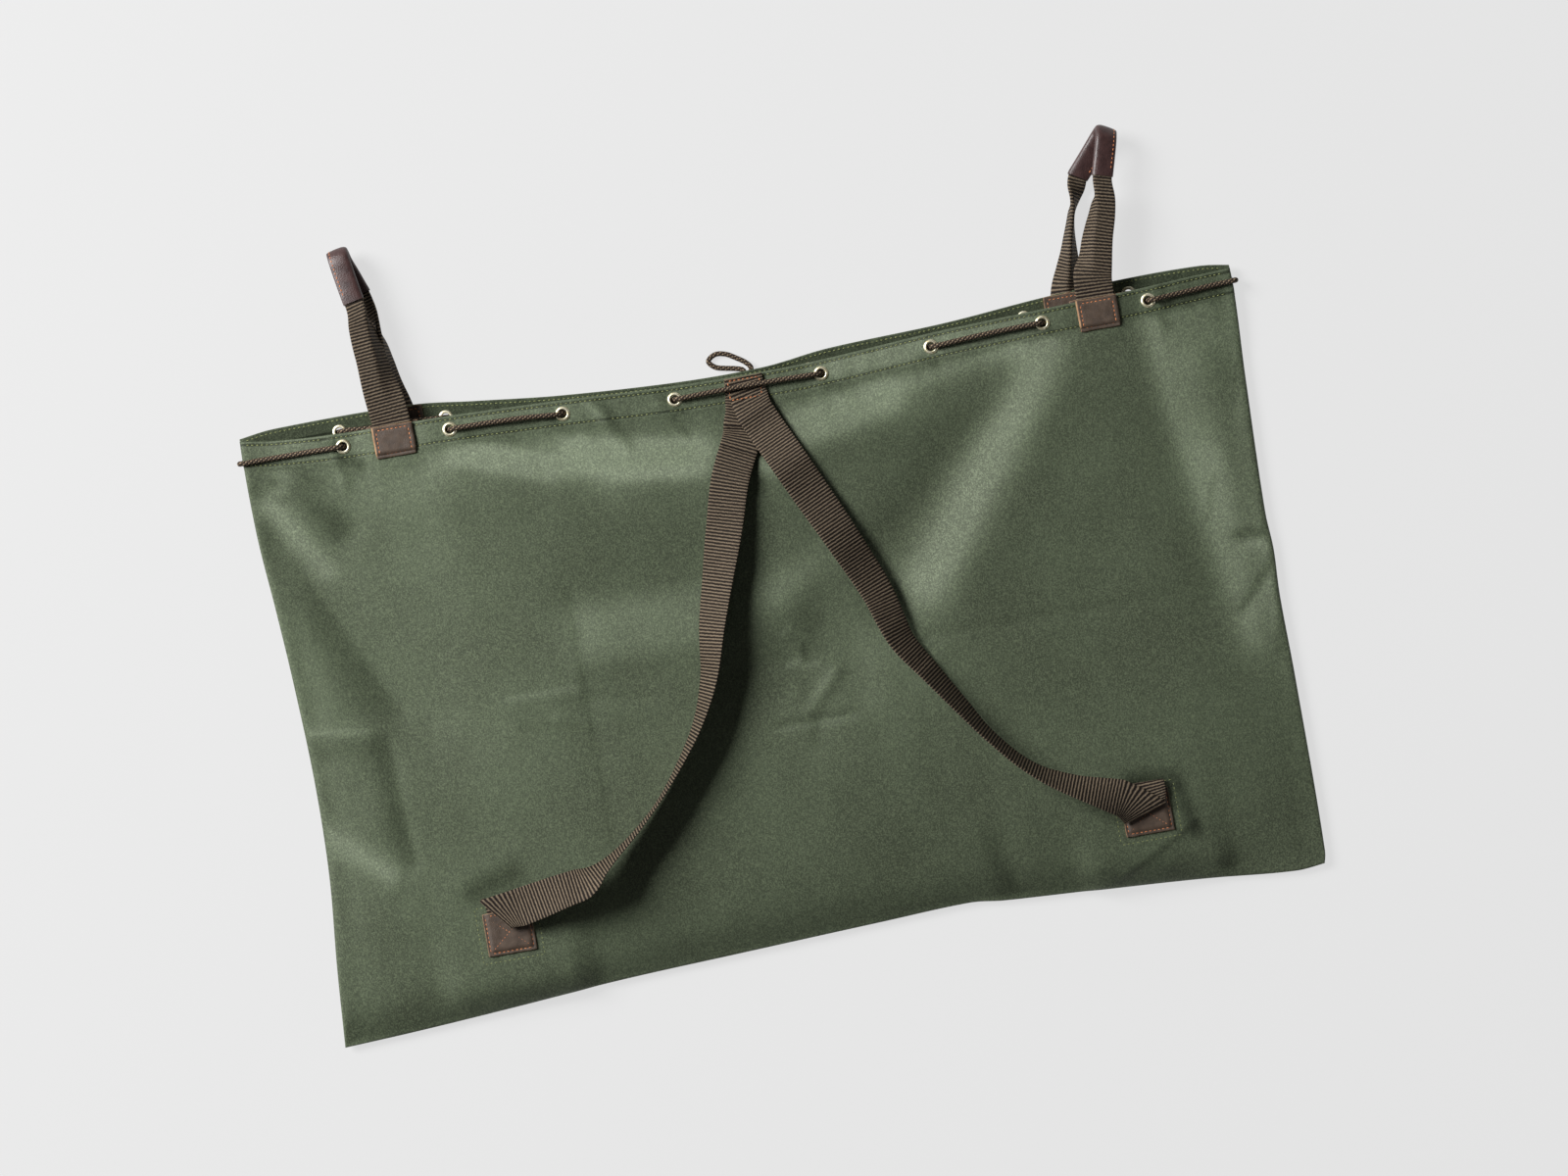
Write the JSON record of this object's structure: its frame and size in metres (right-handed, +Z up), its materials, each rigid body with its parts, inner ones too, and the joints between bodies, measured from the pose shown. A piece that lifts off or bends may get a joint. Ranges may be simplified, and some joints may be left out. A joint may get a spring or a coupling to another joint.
{
  "type": "game bag",
  "caption": "Wide flat drawstring sack of coated cloth with eyelets along its mouth, two webbing shoulder straps and two looped grab handles, lying empty.",
  "frame": {"origin": "on the ground, under the middle of the back wall on which the bag lies", "axes": "+X along the bag's width, +Y towards its mouth, +Z up, away from the ground"},
  "size_m": [1.0916, 0.8438, 0.0854],
  "materials": {
    "coated_cloth": "satin coating over a fine weave",
    "webbing": "cross-ribbed woven webbing",
    "patch_leather": "matt, with raw cut edges",
    "grip_leather": "smooth, lightly worn",
    "eyelet_brass": "pale, lightly tarnished",
    "braided_cord": "tight braid"
  },
  "bodies": {
    "root": {"front_panel": "coated_cloth", "back_panel": "coated_cloth", "eyelet_front_1": "eyelet_brass", "eyelet_back_1": "eyelet_brass", "eyelet_front_2": "eyelet_brass", "eyelet_back_2": "eyelet_brass", "eyelet_front_3": "eyelet_brass", "eyelet_back_3": "eyelet_brass", "eyelet_front_4": "eyelet_brass", "eyelet_back_4": "eyelet_brass", "eyelet_front_5": "eyelet_brass", "eyelet_back_5": "eyelet_brass", "eyelet_front_6": "eyelet_brass", "eyelet_back_6": "eyelet_brass", "eyelet_front_7": "eyelet_brass", "eyelet_back_7": "eyelet_brass", "eyelet_front_8": "eyelet_brass", "eyelet_back_8": "eyelet_brass", "shoulder_strap_left": "webbing", "handle_webbing_left": "webbing", "handle_grip_left": "grip_leather", "strap_patch_left": "patch_leather", "handle_patch_front_outer_left": "patch_leather", "handle_patch_front_inner_left": "patch_leather", "handle_patch_back_outer_left": "patch_leather", "handle_patch_back_inner_left": "patch_leather", "drawcord_end_left": "braided_cord", "shoulder_strap_right": "webbing", "handle_webbing_right": "webbing", "handle_grip_right": "grip_leather", "strap_patch_right": "patch_leather", "handle_patch_front_outer_right": "patch_leather", "handle_patch_front_inner_right": "patch_leather", "handle_patch_back_outer_right": "patch_leather", "handle_patch_back_inner_right": "patch_leather", "drawcord_end_right": "braided_cord", "drawcord": "braided_cord", "drawcord_knot": "braided_cord", "drawcord_bow_loop": "braided_cord", "drawcord_hidden_loop": "braided_cord"}
  },
  "joints": []
}
